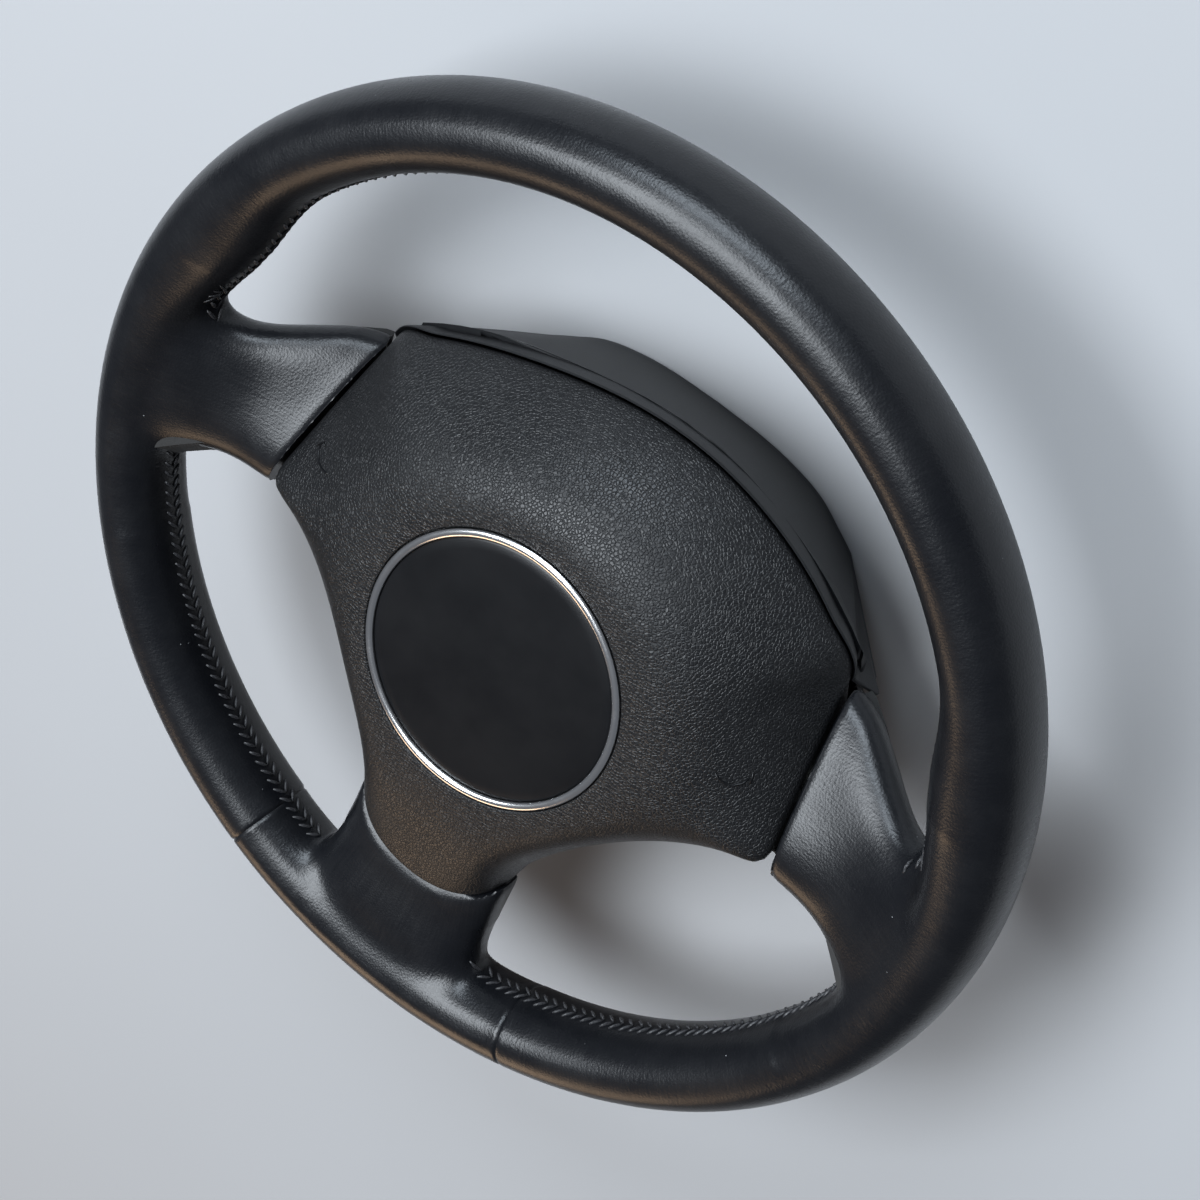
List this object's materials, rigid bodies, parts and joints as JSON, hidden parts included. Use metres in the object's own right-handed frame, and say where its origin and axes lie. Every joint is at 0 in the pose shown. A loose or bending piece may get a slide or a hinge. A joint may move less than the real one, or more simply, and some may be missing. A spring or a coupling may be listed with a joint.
{
  "type": "car steering wheel",
  "caption": "Leather-wrapped car steering wheel with an airbag module in its hub that presses in to sound the horn.",
  "frame": {"origin": "on the column axis, at the flat rear face of the shroud that the wheel lies on", "axes": "+Z along the column axis towards the driver, +Y towards 12 o'clock, +X to the driver's right"},
  "size_m": [0.375, 0.375, 0.1046],
  "materials": {
    "armature": "cast, matt",
    "hub_bush": "machined",
    "rim_foam": "moulded foam",
    "leather_upper": "smooth, lightly creased",
    "leather_lower": "smooth, lightly creased",
    "rear_shroud": "fine satin grain",
    "shroud_screws": "zinc plated",
    "horn_contact_plate": "plated sheet",
    "guide_bushes": "natural moulded",
    "latch_wires": "spring steel",
    "airbag_cover": "pebbled soft-touch grain",
    "badge_disc": "satin, bare",
    "badge_ring": "bright",
    "module_housing": "passivated sheet",
    "cover_rivets": "plain",
    "inflator": "drawn cans",
    "squib_sockets": "moulded",
    "retainer_ring": "zinc plated",
    "module_nuts": "zinc plated",
    "bag_pack": "folded woven fabric",
    "guide_pins": "turned",
    "contact_buttons": "plated",
    "horn_springs": "spring wire"
  },
  "bodies": {
    "wheel": {"armature": "armature", "hub_bush": "hub_bush", "rim_foam": "rim_foam", "leather_upper": "leather_upper", "leather_lower": "leather_lower", "rear_shroud": "rear_shroud", "shroud_screws": "shroud_screws", "horn_contact_plate": "horn_contact_plate", "guide_bushes": "guide_bushes", "latch_wires": "latch_wires", "horn_springs": "horn_springs"},
    "airbag_module": {"airbag_cover": "airbag_cover", "badge_disc": "badge_disc", "badge_ring": "badge_ring", "module_housing": "module_housing", "cover_rivets": "cover_rivets", "inflator": "inflator", "squib_sockets": "squib_sockets", "retainer_ring": "retainer_ring", "module_nuts": "module_nuts", "bag_pack": "bag_pack", "guide_pins": "guide_pins", "contact_buttons": "contact_buttons"}
  },
  "joints": [
    {"name": "horn_press", "type": "slide", "parent": "wheel", "child": "airbag_module", "axis": [0, 0, -1], "range_m": [0, 0.0022], "stiffness_N_per_m": 8000, "springref_m": -0.003, "deforming": ["horn_springs"]}
  ]
}
